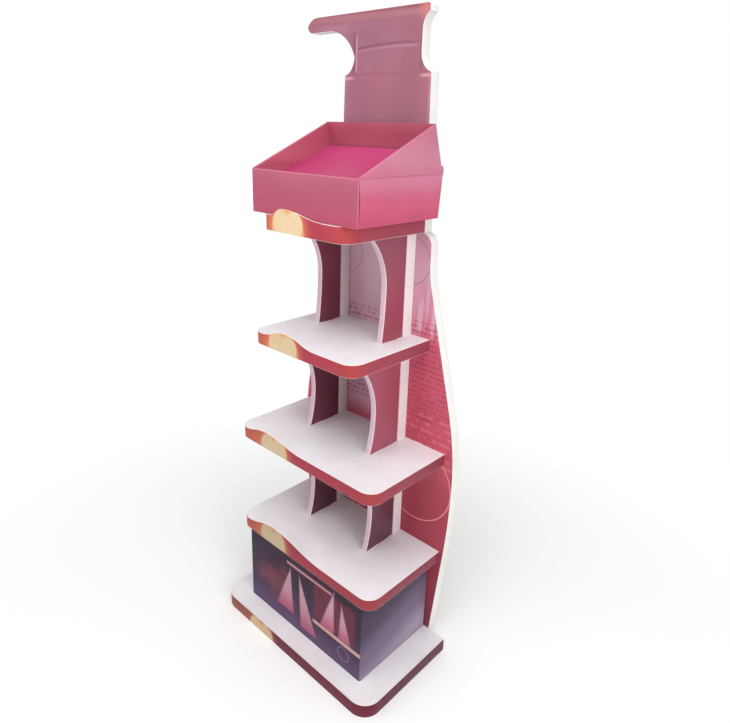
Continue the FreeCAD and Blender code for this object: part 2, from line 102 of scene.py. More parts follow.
class Paper:
    """The node tree of one board or print. Its colour is what lay adds to and press finishes, and each other
    method adds nodes and gives back their result."""

    def __init__(self, name):
        self.material = bpy.data.materials.new(name)
        self.material.use_nodes = True
        self.tree = self.material.node_tree
        self.shader = self.tree.nodes["Principled BSDF"]
        self.place = self.add("ShaderNodeTexCoord").outputs["Object"]
        self.x, self.y, self.z = self.add("ShaderNodeSeparateXYZ", {0: self.place}).outputs

    def add(self, kind, inputs=None, **settings):
        """A node with its settings made and its inputs set or joined."""
        node = self.tree.nodes.new(kind)
        for name, value in settings.items():
            setattr(node, name, value)
        for key, value in (inputs or {}).items():
            if isinstance(value, bpy.types.NodeSocket):
                self.tree.links.new(value, node.inputs[key])
            else:
                node.inputs[key].default_value = value
        return node

    def calculate(self, operation, *values):
        """One step of arithmetic."""
        return self.add("ShaderNodeMath", dict(enumerate(values)), operation=operation).outputs[0]

    def plus(self, value, more):
        """The sum."""
        return self.calculate("ADD", value, more)

    def less(self, value, part):
        """The difference."""
        return self.calculate("SUBTRACT", value, part)

    def times(self, value, *others):
        """The product of all of them."""
        for other in others:
            value = self.calculate("MULTIPLY", value, other)
        return value

    def size_of(self, value):
        """The value without its sign."""
        return self.calculate("ABSOLUTE", value)

    def fade(self, value, low, high):
        """0 at low, 1 at high, and a smooth S between them."""
        inputs = {"Value": value, "From Min": low, "From Max": high}
        return self.add("ShaderNodeMapRange", inputs, interpolation_type="SMOOTHSTEP").outputs[0]

    def band(self, value, low, high, soft):
        """1 between low and high, fading to 0 over soft outside them."""
        return self.times(self.fade(value, low - soft, low), self.fade(value, high + soft, high))

    def patch(self, across, up, soft_across, soft_up):
        """1 in a rectangle between two places across and two heights, fading to 0 outside it."""
        return self.times(self.band(self.x, *across, soft_across), self.band(self.z, *up, soft_up))

    def distance(self, across, up, centre):
        """Distance from a centre, sqrt(aside^2 + above^2)."""
        aside, above = self.less(across, centre[0]), self.less(up, centre[1])
        return self.calculate("SQRT", self.plus(self.times(aside, aside), self.times(above, above)))

    def ring(self, across, up, centre, radius, width):
        """1 on a drawn circle of that radius and line width, and 0 off it."""
        off_line = self.size_of(self.less(self.distance(across, up, centre), radius))
        return self.fade(off_line, width, width * 0.4)

    def noise(self, scale, detail=2.0, stretch=(1, 1, 1), seed=0.0):
        """Cloudy noise from 0 to 1, with scale cells to the metre, stretched along the axes."""
        where = self.add("ShaderNodeMapping", {0: self.place, 1: (seed, seed, seed), 3: stretch})
        inputs = {"Vector": where.outputs[0], "Scale": scale, "Detail": detail}
        return self.add("ShaderNodeTexNoise", inputs).outputs["Fac"]

    def mix(self, share, first, second, blend="MIX"):
        """The first colour, going over to the second by share."""
        inputs = {0: share, 6: first, 7: second}
        return self.add("ShaderNodeMix", inputs, data_type="RGBA", blend_type=blend).outputs[2]

    def blend_along(self, value, stops):
        """Tones at places along value, smooth between neighbours."""
        colour = ink(*stops[0][1])
        for (before, _), (here, tone) in zip(stops, stops[1:]):
            colour = self.mix(self.fade(value, before, here), colour, ink(*tone))
        return colour

    def lay(self, share, tone):
        """Lay a tone over the kept colour by share."""
        self.colour = self.mix(share, self.colour, ink(*tone))

    def press(self, roughness, coat=0.0, flutes=0.0, shine=0.35):
        """Finish the surface: slow mottling and fibres in the kept colour, worn spots in its gloss, and a
        bump of fibres, and of the board's core showing through where flutes is above 0."""
        mottle = self.fade(self.noise(14, 3, seed=1.7), 0.3, 0.7)
        fibres = self.noise(900, 4, stretch=(1, 1, 0.35), seed=5.1)
        clouds = self.mix(mottle, ink(249, 248, 247), ink(255, 255, 255))
        specks = self.mix(self.fade(fibres, 0.25, 0.6), ink(246, 245, 244), ink(255, 255, 255))
        toned = self.mix(1.0, self.mix(1.0, self.colour, clouds, "MULTIPLY"), specks, "MULTIPLY")
        self.tree.links.new(toned, self.shader.inputs["Base Color"])
        wear = self.fade(self.noise(60, 3, seed=8.3), 0.3, 0.7)
        self.tree.links.new(self.plus(self.times(wear, 0.10), roughness), self.shader.inputs["Roughness"])
        self.shader.inputs["Coat Weight"].default_value = coat
        self.shader.inputs["Coat Roughness"].default_value = COAT_ROUGHNESS
        self.shader.inputs["Specular IOR Level"].default_value = shine
        core = self.noise(70, 1, seed=3.3)
        height = self.plus(self.times(fibres, 0.3), self.times(core, flutes))
        bump = self.add("ShaderNodeBump", {"Height": height, "Strength": 0.5, "Distance": FIBRE_DEPTH})
        self.tree.links.new(bump.outputs[0], self.shader.inputs["Normal"])
        return self.material


def lighter(tone, step):
    """The tone with the same step added to its red, green and blue."""
    return tuple(value + step for value in tone)


def white_liner(name, tone, seam=0.0):
    """Plain white liner paper, a little warm, with the faint grey of a taped seam every seam metres up."""
    paper = Paper(name)
    clouds = paper.fade(paper.noise(5, 2, seed=2.2), 0.35, 0.65)
    paper.colour = paper.mix(clouds, ink(*tone), ink(*lighter(tone, 4)))
    if seam:
        turn = paper.calculate("PINGPONG", paper.z, seam)
        paper.lay(paper.fade(turn, 0.8 * MM, 0.3 * MM), (206, 202, 198))
    return paper.press(0.62, flutes=0.6)


def outline_of(node, way):
    """The corners, in order, of a flat board's outermost face that way, with its short arcs filled in."""
    shape = bmesh.new()
    shape.from_mesh(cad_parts[node].data)
    bmesh.ops.remove_doubles(shape, verts=shape.verts, dist=0.02 * MM)
    bmesh.ops.dissolve_limit(shape, angle_limit=FLAT_TURN, verts=shape.verts, edges=shape.edges)
    facing = [face for face in shape.faces if face.normal.dot(Vector(way)) > 0.99]
    outermost = max(facing, key=lambda face: face.calc_center_median().dot(Vector(way)))
    corners = np.array([vertex.co for vertex in outermost.verts])
    shape.free()
    return arcs_filled(corners)


def arcs_filled(corners, parts=4, far_longer=3):
    """More points on the arcs of a closed outline: each side becomes the cubic that leaves and reaches its
    ends along the outline's directions there, P = H(start, end, directions). At a sharp corner, or beside a
    far longer side, the direction is that of the side itself."""
    sides = np.roll(corners, -1, axis=0) - corners
    length = np.linalg.norm(sides, axis=1)[:, None]
    ways = sides / length
    before, before_length = np.roll(ways, 1, axis=0), np.roll(length, 1, axis=0)
    lean = ways / length + before / before_length
    lean /= np.linalg.norm(lean, axis=1)[:, None]
    soft = np.sum(ways * before, axis=1)[:, None] > math.cos(SOFT_TURN)
    leave = np.where(soft & (length < before_length * far_longer), lean, ways)
    arrive = np.where(soft & (before_length < length * far_longer), lean, before)
    arrive = np.roll(arrive, -1, axis=0)
    t = (np.arange(parts) / parts)[None, :, None]
    start, end = corners[:, None], np.roll(corners, -1, axis=0)[:, None]
    pull_start, pull_end = (leave * length)[:, None], (arrive * length)[:, None]
    curve = start * (2 * t ** 3 - 3 * t ** 2 + 1) + end * (3 * t ** 2 - 2 * t ** 3)
    curve = curve + pull_start * (t ** 3 - 2 * t ** 2 + t) + pull_end * (t ** 3 - t ** 2)
    return curve.reshape(-1, 3)


def cells(rows, columns):
    """The four corner numbers of every cell in a grid of points whose rows are closed."""
    here = np.arange(columns)
    right = (here + 1) % columns
    row = np.arange(rows - 1)[:, None] * columns
    corners = [row + here, row + columns + here, row + columns + right, row + right]
    return np.stack(corners, axis=-1).reshape(-1, 4).tolist()


def finished(name, points, zones, materials, replaced, print_map=None):
    """A piece from its rings of points, closed by the first and last ring, with each face's material, riding
    on the stand. All faces but the two at the ends are smooth."""
    rings, around = points.shape[:2]
    last = (rings - 1) * around
    faces = cells(rings, around) + [list(range(around)), list(range(last, last + around))[::-1]]
    mesh = bpy.data.meshes.new(name)
    mesh.from_pydata(points.reshape(-1, 3), [], faces)
    mesh.polygons.foreach_set("material_index", zones)
    mesh.polygons.foreach_set("use_smooth", [True] * (len(faces) - 2) + [False, False])
    mesh.set_sharp_from_angle(angle=SHARP_TURN)
    if print_map is not None:
        corner_of = np.empty(len(mesh.loops), int)
        mesh.loops.foreach_get("vertex_index", corner_of)
        layer = mesh.uv_layers.new(name="Print")
        layer.data.foreach_set("uv", print_map.reshape(-1, 2)[corner_of].ravel())
    for material in materials:
        mesh.materials.append(material)
    piece = bpy.data.objects.new(name, mesh)
    bpy.context.scene.collection.objects.link(piece)
    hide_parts(*replaced)
    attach(piece, "root")


def sawn_board(name, corners, way, thick, soft, materials, replaced):
    """A flat board: its outline carried back from the face by its thickness, with both rims rounded.
    Rim points move in by soft * (1 - sin a) and back by soft * (1 - cos a) for a from 0 to a quarter turn.
    The materials are those of the face, the sawn edge and the back."""
    way = np.array(way, float)
    sides = np.roll(corners, -1, axis=0) - corners
    sides /= np.linalg.norm(sides, axis=1)[:, None]
    out = np.cross(sides, way)
    before = np.roll(out, 1, axis=0)
    mitre = (out + before) / (1 + np.sum(out * before, axis=1))[:, None]
    angle = np.linspace(0, math.pi / 2, 4)
    inward = soft * (1 - np.sin(angle))
    back = soft * (1 - np.cos(angle))
    inward = np.concatenate([inward, inward[::-1]])
    back = np.concatenate([back, thick - back[::-1]])
    rings = corners[None] - mitre[None] * inward[:, None, None] - way * back[:, None, None]
    zones = [1] * (len(inward) - 1) * len(corners) + [0, 2]
    finished(name, rings, zones, materials, replaced)


def printed_rows(paper, pitch, word, seed):
    """Rows of plain bars: 1 inside a bar. A row repeats every pitch up, and noise along it, new for each row,
    leaves gaps between bars about a word long."""
    row = paper.calculate("DIVIDE", paper.z, pitch)
    off_middle = paper.size_of(paper.less(paper.calculate("FRACT", row), 0.5))
    bar = paper.fade(off_middle, 0.27, 0.20)
    along = paper.calculate("DIVIDE", paper.x, word)
    step = paper.times(paper.calculate("FLOOR", row), 7.31)
    where = paper.add("ShaderNodeCombineXYZ", {0: along, 1: step, 2: seed}).outputs[0]
    gaps = paper.add("ShaderNodeTexNoise", {"Vector": where, "Scale": 1.0, "Detail": 1.0}).outputs["Fac"]
    return paper.times(bar, paper.fade(gaps, 0.44, 0.50))


def board_print():
    """The board's front: burgundy foot, crimson belly with rows of plain bars, lilac shoulders with drawn
    rings, a paler panel between the posts, a mauve collar and the pump head, running into each other."""
    paper = Paper("board_front_print")
    wander = paper.times(paper.less(paper.noise(6, 2, (1, 1, 0.3), 4.0), 0.5), 0.10)
    paper.colour = paper.blend_along(paper.plus(paper.z, wander), BOARD_TONES)
    strokes = paper.fade(paper.noise(1.0, 3, (70, 1, 5), 7.0), 0.47, 0.60)
    paper.lay(paper.times(strokes, paper.band(paper.z, 0.95, 1.03, 0.05)), (216, 168, 188))
    panel_low, panel_high = PANEL_TONES[0][0], PANEL_TONES[-1][0]
    between = paper.fade(paper.size_of(paper.x), PANEL_HALF + 6 * MM, PANEL_HALF)
    above = paper.fade(paper.z, panel_low, panel_low + 80 * MM)
    below = paper.fade(paper.z, panel_high + 5 * MM, panel_high)
    panel = paper.blend_along(paper.z, PANEL_TONES)
    paper.colour = paper.mix(paper.times(between, above, below), paper.colour, panel)
    for pitch, word, seed, low, high, soft, share, tone in BOARD_ROWS:
        rows = printed_rows(paper, pitch, word, seed)
        paper.lay(paper.times(rows, paper.band(paper.z, low, high, soft), share), tone)
    for centre, radius, line, tone in BOARD_RINGS:
        paper.lay(paper.ring(paper.x, paper.z, centre, radius, line), tone)
    head_print(paper)
    return paper.press(0.42, coat=0.12, flutes=0.5)


def head_print(paper):
    """The collar and pump head, over the kept print: a round form's light and dark across it, a coral crown
    under a dark top line, a groove round the neck, and light edges at the collar's shoulders."""
    board = paper.colour
    side = paper.size_of(paper.x)
    paper.colour = paper.blend_along(paper.x, HEAD_TONES)
    dusk = paper.fade(paper.noise(6, 2, (1, 1, 0.6), 2.5), 0.46, 0.64)
    paper.lay(paper.times(dusk, 0.5), (150, 102, 124))

    crown = paper.plus(paper.z, paper.times(paper.x, 0.02))
    paper.lay(paper.fade(crown, CROWN_LEVEL - 17 * MM, CROWN_LEVEL + 1 * MM), (154, 94, 108))
    paper.lay(paper.band(crown, CROWN_LEVEL, CROWN_LEVEL + 9 * MM, 4 * MM), (163, 104, 115))
    paper.lay(paper.fade(crown, CROWN_LEVEL + 10 * MM, CROWN_LEVEL + 16 * MM), (146, 80, 94))
    nose = paper.fade(paper.x, NOSE_TIP + 53 * MM, NOSE_TIP)
    paper.lay(paper.times(nose, 0.75), (162, 96, 104))
    right_end = paper.fade(paper.x, NECK_HALF - 23 * MM, NECK_HALF + 10 * MM)
    corner = paper.times(right_end, paper.fade(paper.z, CROWN_LEVEL - 26 * MM, CROWN_LEVEL - 1 * MM))
    paper.lay(paper.times(corner, 0.7), (206, 118, 116))

    off_middle = paper.size_of(paper.less(paper.x, 0.03))
    sag = paper.times(paper.calculate("POWER", off_middle, 2.0), 0.42)
    groove = paper.less(paper.z, paper.less(GROOVE_LEVEL, sag))
    on_neck = paper.fade(side, NECK_HALF - 8 * MM, NECK_HALF - 18 * MM)
    paper.lay(paper.times(paper.band(groove, -1 * MM, 1.2 * MM, 3 * MM), on_neck, 0.65), (124, 72, 92))
    paper.lay(paper.times(paper.band(groove, -8 * MM, -6 * MM, 3 * MM), on_neck, 0.4), (196, 134, 150))

    streak_across = (7.5 * MM - NECK_HALF, 9.5 * MM - NECK_HALF)
    streak = paper.patch(streak_across, (COLLAR_TOP + 10.5 * MM, NECK_TOP - 8 * MM), 1.4 * MM, 8 * MM)
    paper.lay(paper.times(streak, 0.75), (222, 168, 180))
    neck_edge = paper.band(side, NECK_HALF - 4 * MM, NECK_HALF + 4 * MM, 2 * MM)
    neck_span = paper.band(paper.z, COLLAR_TOP + 6.5 * MM, NECK_TOP, 6 * MM)
    paper.lay(paper.times(neck_edge, neck_span, 0.55), (126, 66, 90))
    seam = paper.band(paper.z, COLLAR_TOP - 1 * MM, COLLAR_TOP + 1 * MM, 1.6 * MM)
    paper.lay(paper.times(seam, 0.45), (140, 80, 102))
    glint = paper.band(paper.z, COLLAR_TOP - 9.5 * MM, COLLAR_TOP - 5.5 * MM, 3 * MM)
    shoulder = paper.fade(side, NECK_HALF - 10 * MM, NECK_HALF + 12 * MM)
    paper.lay(paper.times(glint, shoulder, 0.7), (222, 158, 160))
    above = paper.fade(paper.z, COLLAR_FOOT - 4 * MM, COLLAR_FOOT + 4 * MM)
    paper.colour = paper.mix(above, board, paper.colour)


tape_white = white_liner("white_edge_tape", (228, 226, 222), seam=TAPE_SEAM)
back_white = white_liner("white_back_liner", (222, 219, 214))
board_low, board_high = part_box("back_board")
BOARD_FACE = board_low.y
sawn_board(
    "board_panel", outline_of("back_board", (0, -1, 0)), (0, -1, 0), board_high.y - BOARD_FACE, BOARD_RIM,
    [board_print(), tape_white, back_white], ["back_board"],
)


# Plain boards: shelf decks, the base deck, its ribs and the two posts, all honeycomb board with white liners.
# They are sawn square and glued, and keep the solids' shape with their rims eased.

PLAIN_RIM = 0.8 * MM
LINER_THICK = 2.6 * MM


def eased(node, width, material):
    """The solid as it is, with its split points joined, its sharp rims rounded by width, and one material."""
    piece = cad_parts[node]
    weld = piece.modifiers.new("joined", "WELD")
    weld.merge_threshold = 0.02 * MM
    rim = piece.modifiers.new("eased_rims", "BEVEL")
    rim.width = width
    rim.segments = 2
    rim.angle_limit = math.radians(40)
    piece.data.materials.clear()
    piece.data.materials.append(material)


def deck_paper():
    """Shelf top: white liner with a cool tint and soft grey scuffs, drawn out from front to back."""
    paper = Paper("shelf_white")
    scuffs = paper.fade(paper.noise(26, 5, (3.0, 0.5, 1), 6.0), 0.60, 0.80)
    paper.colour = paper.mix(paper.times(scuffs, 0.3), ink(232, 228, 232), ink(214, 206, 214))
    return paper.press(0.48, coat=0.05, flutes=0.8)


def cut_edge(name, core, liner, across, middle, half):
    """A sawn board's edge: its pale core between the two liner papers, which lie half from its middle. On the
    fins both tones are painted light: the core's lilac-grey is painted shade and the liner bands are a
    painted highlight.
    """
    paper = Paper(name)
    axis = {"x": paper.x, "y": paper.y}[across]
    away = paper.size_of(paper.less(paper.size_of(axis), middle))
    grain = paper.fade(paper.noise(220, 3, seed=2.9), 0.35, 0.7)
    paper.colour = paper.mix(grain, ink(*core), ink(*lighter(core, 6)))
    paper.lay(paper.fade(away, half - LINER_THICK, half - LINER_THICK + 1 * MM), liner)
    return paper.press(0.6, flutes=1.0)


shelf_white = deck_paper()
post_low, post_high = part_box("right_post")
post_half = (post_high.y - post_low.y) / 2
post_white = cut_edge("post_white", (230, 222, 222), (222, 188, 198), "y", post_low.y + post_half, post_half)
rib_white = white_liner("rib_white", (226, 220, 216))
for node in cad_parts:
    if node.endswith("_deck"):
        eased(node, PLAIN_RIM, shelf_white)
    if node.endswith("_post"):
        eased(node, PLAIN_RIM, post_white)
    if node.startswith("base_rib"):
        eased(node, PLAIN_RIM, rib_white)


# Printed strips: card bent round the front and sides of each shelf and of the base, and glued to the boards'
# edges. The upper edge is die-cut to one long wave, and the white core shows along it.

STRIP_THICK = 2.6 * MM
STRIP_RIM = 0.7 * MM
STRIP_BOW = 0.5 * MM
STRIP_ROWS = 3
SHELF_CORNER = 38 * MM
BASE_CORNER = 50 * MM
HEART_SIZE = 46 * MM
# from a heart's middle up to the top of its lobes
HEART_TOP = HEART_SIZE * 1.11
SHELF_STRIPS = {
    # shelf: crest's place, its rise, the wave's length left and right of it, the heart's place, and a painted
    # shade factor on all tones, darker on lower shelves
    "lower": (-110 * MM, 25 * MM, 130 * MM, 200 * MM, -113 * MM, 0.85),
    "middle": (-135 * MM, 17 * MM, 100 * MM, 150 * MM, -102 * MM, 0.92),
    "upper": (-50 * MM, 20 * MM, 95 * MM, 110 * MM, -59 * MM, 0.98),
    "top": (-62 * MM, 18 * MM, 50 * MM, 150 * MM, -43 * MM, 1.04),
}
BASE_HEART_PLACE = -118 * MM
SHELF_TONES = {
    "left": (196, 92, 72), "halo": (210, 108, 80), "front": (176, 60, 76), "corner": (174, 66, 70),
    "side": (158, 66, 82), "side_end": (150, 64, 82), "low": (140, 46, 62),
    "heart": (226, 200, 162), "glow": (222, 138, 100), "line": (238, 186, 116),
}
BASE_TONES = {
    "left": (150, 84, 70), "halo": (150, 78, 66), "front": (106, 32, 54), "corner": (106, 30, 48),
    "side": (98, 44, 66), "side_end": (96, 50, 72), "low": (84, 24, 42),
    "heart": (206, 176, 140), "glow": (160, 92, 76), "line": (190, 138, 92),
}


def outward_of(way):
    """The direction to the right of travel, which is outside a line that turns left."""
    return np.array([way[1], -way[0]])


def bent_line(corners, radius, spacing):
    """A line through corners with a quarter turn left at each inner one: its points, outward directions and
    distances along it. A bend is an arc about the centre that lies a radius from both straights."""
    corners = np.array(corners, float)
    ways = np.diff(corners, axis=0)
    ways /= np.linalg.norm(ways, axis=1)[:, None]
    points, outward = [], []
    start = corners[0]
    for index, way in enumerate(ways):
        last = index == len(ways) - 1
        end = corners[index + 1] - way * (0 if last else radius)
        count = max(3, int(np.linalg.norm(end - start) / spacing) + 1)
        share = np.linspace(0, 1, count, endpoint=last)[:, None]
        points.append(start + (end - start) * share)
        outward.append(np.tile(outward_of(way), (count, 1)))
        if last:
            break
        angle = np.linspace(0, math.pi / 2, 12, endpoint=False)[:, None]
        out = outward_of(way) * np.cos(angle) + outward_of(ways[index + 1]) * np.sin(angle)
        points.append(end + ways[index + 1] * radius + out * radius)
        outward.append(out)
        start = corners[index + 1] + ways[index + 1] * radius
    points, outward = np.concatenate(points), np.concatenate(outward)
    steps = np.linalg.norm(np.diff(points, axis=0), axis=1)
    return points, outward, np.concatenate([[0], np.cumsum(steps)])


def wave_height(across, crest, rise, left, right):
    """Height of the wave above the shelf: from the crest down, one arc and then its opposite, level at both
    ends. With R = (run^2 + rise^2) / (4 rise), the near half falls by R - sqrt(R^2 - d^2)."""
    aside = across - crest
    run = np.where(aside < 0, left, right)
    away = np.minimum(np.abs(aside), run)
    radius = (run ** 2 + rise ** 2) / (4 * rise)
    near = rise - (radius - np.sqrt(radius ** 2 - np.minimum(away, run / 2) ** 2))
    far = radius - np.sqrt(radius ** 2 - np.minimum(run - away, run / 2) ** 2)
    return np.where(away < run / 2, near, far)


def wall_section(thick, soft, rows):
    """The closed section of an upright wall, going up its outside and down its inside, rims rounded by soft:
    how far in each point lies, its share of the height, and the little that it is moved up or down."""
    turn = np.linspace(0, math.pi / 2, 4)
    near = soft * (1 - np.cos(turn))
    under = soft * (1 - np.sin(turn))
    outside = np.linspace(0, 1, rows)
    inside = outside[::-1]
    inward = np.concatenate([
        outside * 0, near[1:], thick - near[::-1][:-1],
        inside * 0 + thick, (thick - near)[1:], near[::-1][:-1],
    ])
    top = np.concatenate([-under[1:], -under[::-1][:-1]])
    share = np.concatenate([outside, top * 0 + 1, inside, top * 0])
    ease = soft * (1 - 2 * outside)
    lift = np.concatenate([ease, top, ease[::-1], -top])
    return inward, share, lift


def wall_points(line, outward, low, high, section, swell=0.0):
    """The wall's points: its section set up at each point of the line, and swollen outwards by
    swell * sin(pi * share of the height)."""
    inward, share, lift = section
    low, high = np.broadcast_to(low, len(line)), np.broadcast_to(high, len(line))
    out = np.outer(np.broadcast_to(swell, len(line)), np.sin(math.pi * share)) - inward
    flat = line[:, None, :] + outward[:, None, :] * out[..., None]
    level = low[:, None] + (high - low)[:, None] * share + lift
    return np.concatenate([flat, level[..., None]], axis=2)


def wall(name, points, along, rows, materials, replaced):
    """A wall from its grid of points, ends closed, outside printed. The print's own map is the distance
    along the wall and the height above its foot, both in metres."""
    stations, around = points.shape[:2]
    place_round = np.arange((stations - 1) * around) % around
    zones = np.where(place_round < rows - 1, 0, 1).tolist() + [1, 1]
    height = points[..., 2] - points[..., 2].min()
    print_map = np.stack([np.broadcast_to(along[:, None], height.shape), height], axis=-1)
    finished(name, points, zones, materials, replaced, print_map)


def heart_shape(paper, along, up, heart):
    """Below 0 inside a heart: (x^2 + y^2 - 1)^3 - x^2 y^3, with x and y counted from its middle."""
    x = paper.calculate("DIVIDE", paper.less(along, heart[0]), HEART_SIZE)
    y = paper.calculate("DIVIDE", paper.less(up, heart[1]), HEART_SIZE * 0.94)
    x_square, y_square = paper.times(x, x), paper.times(y, y)
    rim = paper.less(paper.plus(x_square, y_square), 1.0)
    return paper.less(paper.times(rim, rim, rim), paper.times(x_square, y_square, y))


def strip_print(name, half, heart, top, tones, painted_level_shade=1.0):
    """A strip's print, by distance from the middle of its front, which is half wide on either side: orange
    at the left, crimson, a warm glow at the corner and burgundy on the side, with a plain cream heart, its
    orange halo and a gold hairline. A factor for the level scales all tones: painted shade, darker on the
    lower shelves."""
    # Painted shade: every tone is scaled by the level's factor, so the lower shelves' strips come out darker.
    tones = {part: [value * painted_level_shade for value in tone] for part, tone in tones.items()}
    paper = Paper(name)
    place = paper.add("ShaderNodeUVMap", uv_map="Print").outputs[0]
    along, up, _ = paper.add("ShaderNodeSeparateXYZ", {0: place}).outputs
    wander = paper.times(paper.less(paper.noise(9, 2, seed=3.0), 0.5), 0.05)
    paper.colour = paper.blend_along(paper.plus(along, wander), [
        (-half, tones["left"]),
        (heart[0] - 0.02, tones["halo"]),
        (heart[0] + 0.09, tones["front"]),
        (half - 0.09, tones["front"]),
        (half - 0.01, tones["corner"]),
        (half + 0.07, tones["side"]),
        (half + 0.22, tones["side_end"]),
    ])
    height = paper.fade(up, 0.0, top)
    paper.lay(paper.times(height, 0.25), tones["low"])
    halo = paper.fade(paper.distance(along, up, heart), HEART_SIZE * 1.9, HEART_SIZE * 0.9)
    paper.lay(paper.times(halo, 0.8), tones["glow"])
    body = heart_shape(paper, along, up, heart)
    paper.lay(paper.times(paper.band(body, 0.05, 0.16, 0.05), 0.6), tones["line"])
    cream = paper.mix(height, ink(*tones["heart"]), ink(*lighter(tones["heart"], -8)))
    paper.colour = paper.mix(paper.fade(body, 0.04, -0.02), paper.colour, cream)
    return paper.press(0.46, coat=0.02, shine=0.22)


def strip_line(node, corner, spacing):
    """The line round an edging's front and sides, from the board to the board, measured from its middle."""
    low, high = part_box(node)
    corners = [(-high.x, BOARD_FACE), (-high.x, low.y), (high.x, low.y), (high.x, BOARD_FACE)]
    line, outward, along = bent_line(corners, corner, spacing)
    return low, high, line, outward, along - along[-1] / 2


def shelf_strip(level, crest, rise, left, right, heart_place, painted_level_shade):
    """One shelf's strip, bent round the deck's edge with a slight bow between the corners."""
    low, high, line, outward, along = strip_line(f"{level}_edging", SHELF_CORNER, 6 * MM)
    on_front = line[:, 1] < low.y + SHELF_CORNER
    top = high.z - rise + np.where(on_front, wave_height(line[:, 0], crest, rise, left, right), 0)
    bow = STRIP_BOW * np.sin(along * 23) ** 2
    points = wall_points(line, outward, low.z, top, strip_section, bow)
    tall = high.z - low.z
    # the print gets its level's painted shade, darker on the lower shelves
    art = strip_print(
        f"{level}_strip_print", high.x, (heart_place, tall - 6 * MM - HEART_TOP), tall, SHELF_TONES, painted_level_shade)
    wall(f"{level}_strip", points, along, STRIP_ROWS, [art, strip_core], [f"{level}_edging"])


strip_section = wall_section(STRIP_THICK, STRIP_RIM, STRIP_ROWS)
strip_core = white_liner("strip_white_core", (236, 228, 224))
for level, shape in SHELF_STRIPS.items():
    shelf_strip(level, *shape)

low, high, line, outward, along = strip_line("base_edging", BASE_CORNER, 12 * MM)
base_points = wall_points(line, outward, low.z, high.z, strip_section)
base_heart = (BASE_HEART_PLACE, high.z - 5 * MM - HEART_TOP)
base_art = strip_print("base_strip_print", high.x, base_heart, high.z, BASE_TONES)
wall("base_strip", base_points, along, STRIP_ROWS, [base_art, strip_core], ["base_edging"])


# Fins: sawn boards that hold the shelves up, printed maroon, with the inside faces painted darker to
# aubergine as painted shade, and a bare white front edge, painted lilac-grey as painted shade with a painted
# highlight along its rims. Their tabs sit in the slots of the shelf above and below.

FIN_RIM = 0.9 * MM
FIN_TONES = (
    # height, tone outside, tone inside: the inside tones are painted shade, darker than the outside
    (0.33, (96, 52, 70), (88, 48, 64)), (0.62, (104, 52, 70), (94, 50, 66)),
    (0.64, (158, 78, 96), (104, 50, 66)), (0.92, (162, 80, 98), (110, 52, 68)),
    (0.98, (150, 62, 80), (114, 50, 66)), (1.22, (146, 74, 92), (124, 58, 74)),
)


def fin_print(name, stops):
    """A fin's print: a slow change of tone from its foot to its head, on a noisy level."""
    paper = Paper(name)
    level = paper.plus(paper.z, paper.times(paper.noise(4, 2, seed=9.0), 0.06))
    paper.colour = paper.blend_along(level, stops)
    return paper.press(0.38, coat=0.12, flutes=0.5)


fin_outside = fin_print("fin_outside_print", [(height, outside) for height, outside, _ in FIN_TONES])
# Painted shade: the inside faces get the darker inside tones, standing in for the shade inside the bays.
fin_inside_shaded = fin_print("fin_inner_painted_shade", [(height, inside) for height, _, inside in FIN_TONES])
fin_low, fin_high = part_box("upper_fin_right")
fin_half = (fin_high.x - fin_low.x) / 2
# Painted shade and highlight: the fins' white edge has its core painted lilac-grey as painted shade and its
# rim bands painted lighter as a painted highlight.
fin_edge_shade_and_highlight = cut_edge("fin_rim_painted_shade_and_highlight", (212, 186, 198), (238, 212, 222), "x", fin_low.x + fin_half, fin_half)
for level in ("lower", "middle", "upper"):
    for side, way in (("left", (-1, 0, 0)), ("right", (1, 0, 0))):
        node = f"{level}_fin_{side}"
        sawn_board(
            f"{level}_{side}_fin_board", outline_of(node, way), way, fin_high.x - fin_low.x, FIN_RIM,
            [fin_outside, fin_edge_shade_and_highlight, fin_inside_shaded], [node],
        )


# Kick box: corrugated sleeve folded at four corners and glued to the back board by two flaps. Two slotted
# dividers of brown corrugated board stand inside it and stiffen it.

KICK_FOLD = 6 * MM
KICK_FLAP = 40 * MM
KICK_WALL = 5 * MM
KICK_RIM = 0.8 * MM
KICK_SWELL = 1.6 * MM
KICK_ROWS = 9
KICK_FRONT_TONES = (
    # height, and the tone there
    (0.05, (92, 70, 104)), (0.12, (66, 46, 74)), (0.20, (50, 30, 54)), (0.30, (44, 24, 44)),
)
KICK_SIDE_TONES = (
    # the same, lowered towards the back
    (0.03, (158, 146, 166)), (0.13, (112, 98, 122)), (0.23, (70, 58, 80)), (0.34, (42, 32, 50)),
)
KICK_GLOW = ((-0.165, -0.060), (0.120, 0.205))
KICK_FIELD = ((0.055, 0.205), (0.142, 0.246))
KICK_WEDGES = (
    # foot across, lean, foot's height, height and half width of each wedge, and its share
    (-0.070, 0.16, 0.085, 0.155, 0.038, 0.70), (0.030, -0.22, 0.062, 0.175, 0.034, 0.75),
    (0.105, 0.18, 0.128, 0.140, 0.028, 0.80), (0.172, -0.12, 0.128, 0.115, 0.024, 0.75),
)
KICK_BARS = (
    # places across, heights, softness across, share and tone of each bar
    ((0.055, 0.240), (0.117, 0.128), 10 * MM, 0.85, (204, 164, 152)),
    ((-0.060, 0.120), (0.250, 0.258), 2 * MM, 0.80, (196, 134, 140)),
)
KICK_RING = ((0.168, 0.088), 0.021, 1.2 * MM)


def wedge(paper, foot, lean, level, tall, wide):
    """1 inside a tall wedge that stands at x = foot and leans, wide at its foot and pointed at its top."""
    up = paper.less(paper.z, level)
    middle = paper.plus(paper.times(up, lean), foot)
    aside = paper.size_of(paper.less(paper.x, middle))
    half = paper.less(wide, paper.times(up, wide / tall))
    return paper.times(paper.fade(paper.less(aside, half), 3 * MM, -5 * MM), paper.fade(up, 0.0, 5 * MM))


